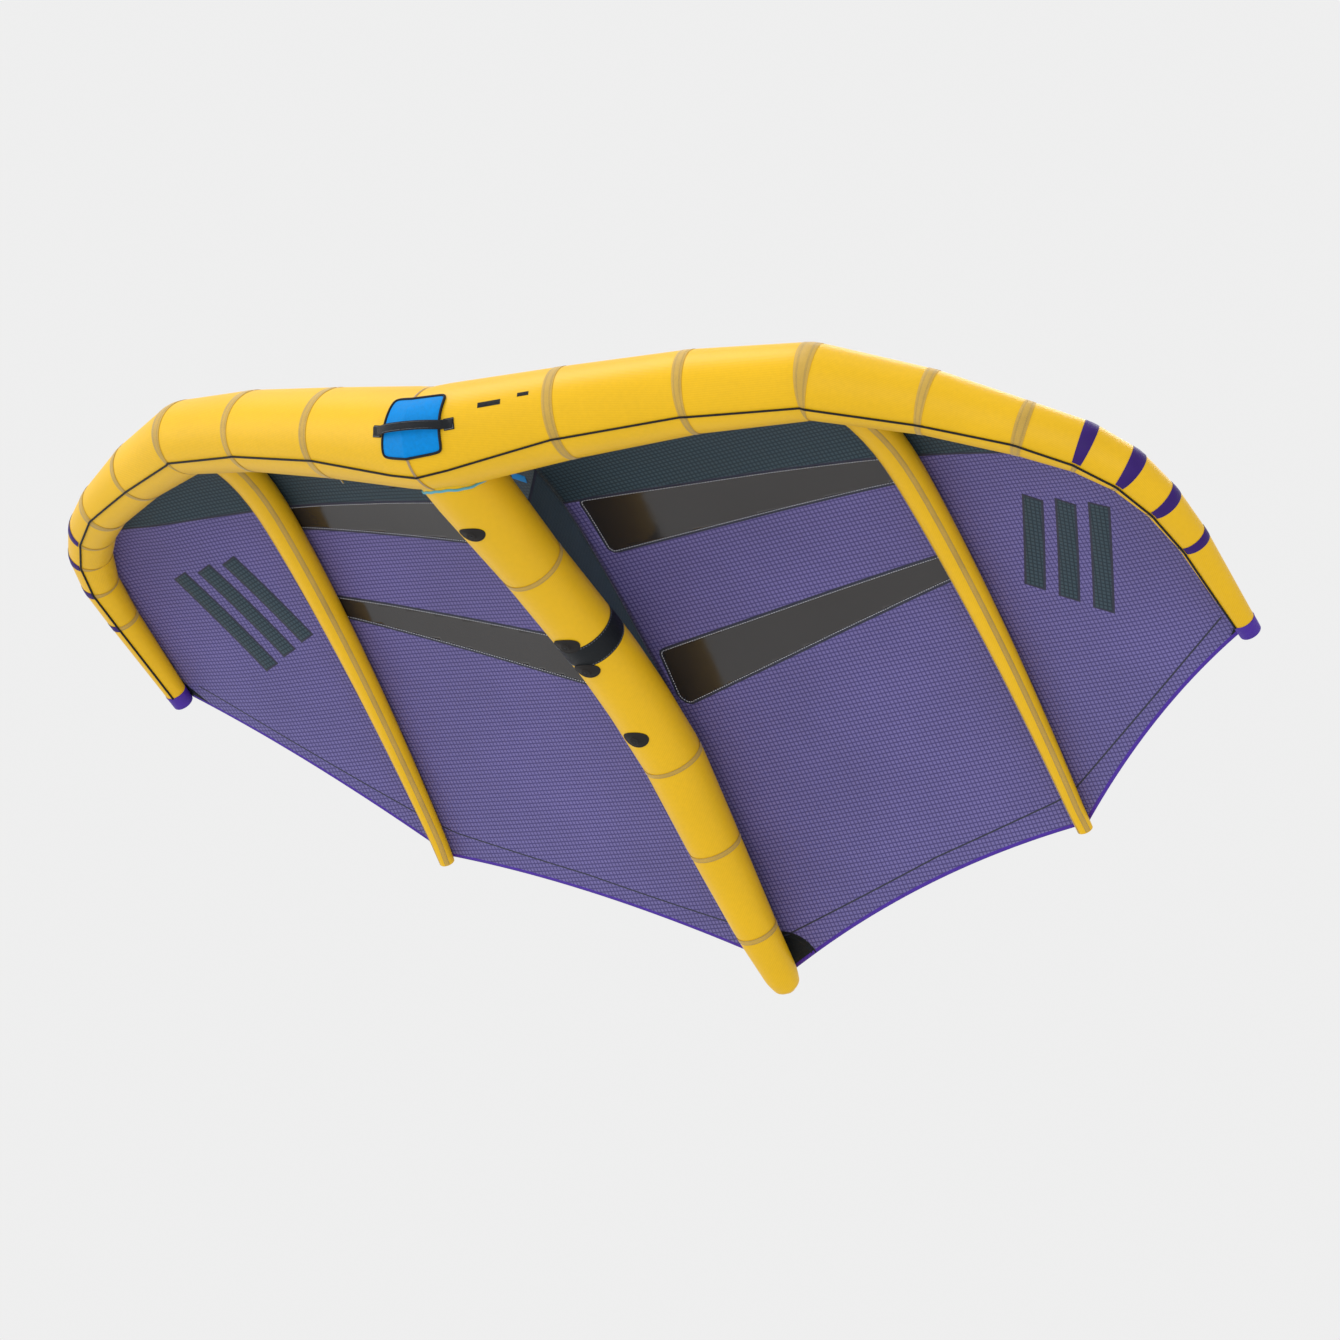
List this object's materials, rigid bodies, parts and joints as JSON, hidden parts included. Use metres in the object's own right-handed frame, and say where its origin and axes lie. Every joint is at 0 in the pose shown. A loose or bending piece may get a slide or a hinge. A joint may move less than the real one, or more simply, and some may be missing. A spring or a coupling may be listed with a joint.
{
  "type": "inflatable hand-held wing",
  "caption": "Inflatable hand-held wing for foil boards: V-shaped air leading edge, three air struts, curved cloth canopy with windows, handle mounts and a carrying strap.",
  "frame": {"origin": "flat face of the front handle mount under the centre strut, beside its threaded insert", "axes": "+X along the span (the wearer's right hand when flying), +Y from the leading edge back to the trailing edge, +Z from the struts up to the canopy"},
  "size_m": [4.1958, 2.4905, 0.6025],
  "materials": {
    "yellow_cloth": "satin woven polyester, 0.5 mm",
    "film": "clear film",
    "violet_cloth": "ripstop cloth",
    "teal_cloth": "ripstop cloth",
    "window_film": "smoke film",
    "navy_cloth": "matte cloth",
    "violet_tape": "folded tape",
    "black_cloth": "coated cloth",
    "blue_foam": "foam with smooth cover",
    "webbing": "woven webbing",
    "black_rubber": "matte",
    "grey_plastic": "moulded",
    "steel": "brushed"
  },
  "bodies": {
    "wing": {"access_zip_coil": "grey_plastic", "access_zip_tape": "black_cloth", "air_port_centre": "grey_plastic", "air_port_left": "grey_plastic", "air_port_right": "grey_plastic", "canopy_front_panel_left": "teal_cloth", "canopy_front_panel_right": "teal_cloth", "canopy_inner_panel_left": "violet_cloth", "canopy_inner_panel_right": "violet_cloth", "canopy_outer_panel_left": "violet_cloth", "canopy_outer_panel_right": "violet_cloth", "carrying_handle_pad": "blue_foam", "centre_strut_bladder": "film", "centre_strut_casing": "yellow_cloth", "centre_web": "navy_cloth", "handle_mount_front": "black_rubber", "handle_mount_rear": "black_rubber", "handle_mount_second": "black_rubber", "handle_mount_third": "black_rubber", "leading_edge_bladder": "film", "leading_edge_casing": "yellow_cloth", "leading_edge_piping": "black_cloth", "strap_anchor_left": "webbing", "strap_anchor_right": "webbing", "strut_band": "black_cloth", "strut_left_bladder": "film", "strut_left_casing": "yellow_cloth", "strut_right_bladder": "film", "strut_right_casing": "yellow_cloth", "tail_patch_left": "black_cloth", "tail_patch_right": "black_cloth", "threaded_insert_front": "steel", "threaded_insert_rear": "steel", "threaded_insert_second": "steel", "threaded_insert_third": "steel", "tip_cap_left": "violet_tape", "tip_cap_right": "violet_tape", "tip_patch_left": "black_cloth", "tip_patch_right": "black_cloth", "trailing_edge_tape_inner_left": "violet_tape", "trailing_edge_tape_inner_right": "violet_tape", "trailing_edge_tape_outer_left": "violet_tape", "trailing_edge_tape_outer_right": "violet_tape", "valve_body": "grey_plastic", "valve_cap_collar": "black_rubber", "valve_flange": "grey_plastic", "window_front_left": "window_film", "window_front_right": "window_film", "window_rear_left": "window_film", "window_rear_right": "window_film"},
    "strap": {"carrying_strap": "webbing"},
    "cap": {"valve_cap": "black_rubber"},
    "plunger": {"valve_plunger": "black_rubber"},
    "zip_slider": {"access_zip_slider": "steel"},
    "zip_pull": {"access_zip_pull": "steel"}
  },
  "joints": [
    {"name": "strap_swing", "type": "hinge", "parent": "wing", "child": "strap", "pos_m": [0.01985, -0.41552, 0.01842], "axis": [0.9991, 0.0138, 0.041], "range_deg": [-15, 15], "stiffness_Nm_per_rad": 0.06},
    {"name": "valve_cap_hinge", "type": "hinge", "parent": "wing", "child": "cap", "pos_m": [-0.28075, -0.13821, 0.10069], "axis": [0.1986, 0.353, 0.9143], "range_deg": [0, 110]},
    {"name": "valve_plunger_press", "type": "slide", "parent": "wing", "child": "plunger", "axis": [0.0739, -0.9356, 0.3452], "range_m": [0, 0.004], "stiffness_N_per_m": 150},
    {"name": "zip_slide", "type": "slide", "parent": "wing", "child": "zip_slider", "axis": [-0.9687, 0.0663, 0.2392], "range_m": [0, 0.264]},
    {"name": "zip_pull_swing", "type": "hinge", "parent": "zip_slider", "child": "zip_pull", "pos_m": [-0.50042, -0.14034, 0.15264], "axis": [-0.2473, -0.3401, -0.9073], "range_deg": [-118, 48]}
  ]
}
